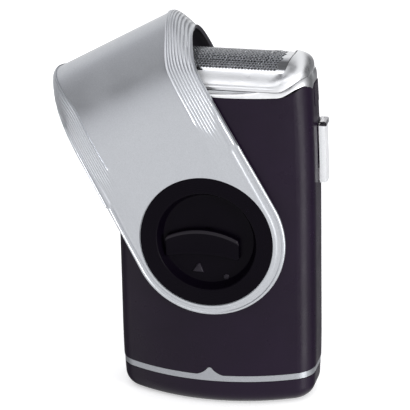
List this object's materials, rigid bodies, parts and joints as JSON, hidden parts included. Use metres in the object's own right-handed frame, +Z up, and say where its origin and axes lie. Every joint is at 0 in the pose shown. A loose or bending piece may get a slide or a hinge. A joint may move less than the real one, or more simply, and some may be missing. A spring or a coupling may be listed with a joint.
{
  "type": "foil shaver",
  "caption": "Pocket battery foil shaver with a twist cap, floating foil, side trimmer, thumb switch and drop-off battery cover.",
  "frame": {"origin": "centre of the flat base under the battery cover", "axes": "+Z up through the head, -Y to the front with the cap and switch, +X to the side with the trimmer"},
  "size_m": [0.0803, 0.034, 0.1184],
  "materials": {
    "body_black": "satin moulded plastic, very dark aubergine black",
    "band_grey": "satin grey",
    "cap_silver": "plastic with satin metallic silver paint",
    "bright_chrome": "bright plated",
    "foil_steel": "etched foil",
    "disc_black": "semi-gloss black",
    "inner_plastic": "moulded black",
    "white_plastic": "natural acetal",
    "rubber": "soft black",
    "contact_metal": "nickel-plated strip",
    "steel": "bright steel",
    "motor_metal": "zinc-plated can",
    "cell_jacket": "plain printed jacket",
    "trimmer_silver": "light silver"
  },
  "bodies": {
    "housing": {"front_shell": "body_black", "rear_shell": "body_black", "trim_band": "band_grey", "cell_left": "cell_jacket", "cell_right": "cell_jacket", "contact_plus": "contact_metal", "contact_minus": "contact_metal", "chassis": "inner_plastic", "motor_screws": "steel", "motor_can": "motor_metal", "motor_end_bell": "inner_plastic", "bridge_flexures": "steel", "top_plate": "inner_plastic", "top_gasket": "rubber", "post_boot": "rubber", "foil_frame": "bright_chrome", "head_skirt": "bright_chrome", "float_springs": "steel", "pivot_disc": "disc_black", "pivot_clip": "steel", "detent_ring": "steel", "switch_block": "inner_plastic", "switch_lead": "contact_metal", "motor_lead": "contact_metal"},
    "cover": {"battery_cover": "body_black", "cover_gasket": "rubber", "cell_bridge": "contact_metal"},
    "rotor": {"motor_shaft": "steel", "eccentric": "white_plastic"},
    "drive": {"drive_bridge": "white_plastic", "drive_post": "steel"},
    "cutter": {"cutter_carrier": "white_plastic", "cutter_blades": "steel"},
    "foil_unit": {"foil": "foil_steel", "foil_carrier": "inner_plastic"},
    "button_right": {"release_button_right": "body_black", "button_spring_right": "steel"},
    "button_left": {"release_button_left": "body_black", "button_spring_left": "steel"},
    "switch": {"switch_slider": "disc_black", "switch_carriage": "contact_metal"},
    "cap": {"twist_cap": "cap_silver"},
    "trimmer": {"trimmer_slide": "trimmer_silver", "trimmer_keeper": "inner_plastic", "trimmer_comb": "steel"},
    "trimmer_edge": {"trimmer_blade": "steel"}
  },
  "joints": [
    {"name": "cap_turn", "type": "hinge", "parent": "housing", "child": "cap", "pos_m": [0, -0.0165, 0.05304], "axis": [0, -1, 0], "range_deg": [-29, 151]},
    {"name": "cover_slide", "type": "slide", "parent": "housing", "child": "cover", "axis": [0, 0, 1], "range_m": [-0.025, 0]},
    {"name": "switch_slide", "type": "slide", "parent": "housing", "child": "switch", "axis": [0, 0, 1], "range_m": [0, 0.0038]},
    {"name": "foil_float", "type": "slide", "parent": "housing", "child": "foil_unit", "axis": [0, 0, 1], "range_m": [-0.0015, 0], "stiffness_N_per_m": 300, "springref_m": 0.0005},
    {"name": "cutter_stroke", "type": "slide", "parent": "housing", "child": "drive", "axis": [1, 0, 0], "range_m": [-0.0012, 0.0012], "stiffness_N_per_m": 200},
    {"name": "cutter_float", "type": "slide", "parent": "drive", "child": "cutter", "axis": [0, 0, 1], "range_m": [-0.0015, 0]},
    {"name": "motor_spin", "type": "hinge", "parent": "housing", "child": "rotor", "pos_m": [0, 0, 0.08], "axis": [0, 0, 1], "continuous": true},
    {"name": "release_right", "type": "slide", "parent": "housing", "child": "button_right", "axis": [-1, 0, 0], "range_m": [0, 0.0012], "stiffness_N_per_m": 400},
    {"name": "release_left", "type": "slide", "parent": "housing", "child": "button_left", "axis": [1, 0, 0], "range_m": [0, 0.0012], "stiffness_N_per_m": 400},
    {"name": "trimmer_lift", "type": "slide", "parent": "housing", "child": "trimmer", "axis": [0, 0, 1], "range_m": [0, 0.0055]},
    {"name": "trimmer_stroke", "type": "slide", "parent": "trimmer", "child": "trimmer_edge", "axis": [0, 1, 0], "range_m": [-0.0006, 0.0006]}
  ],
  "couplings": [
    {"joint": "cutter_float", "follows": "foil_float", "ratio": 1},
    {"joint": "trimmer_stroke", "follows": "cutter_stroke", "ratio": 0.5}
  ]
}
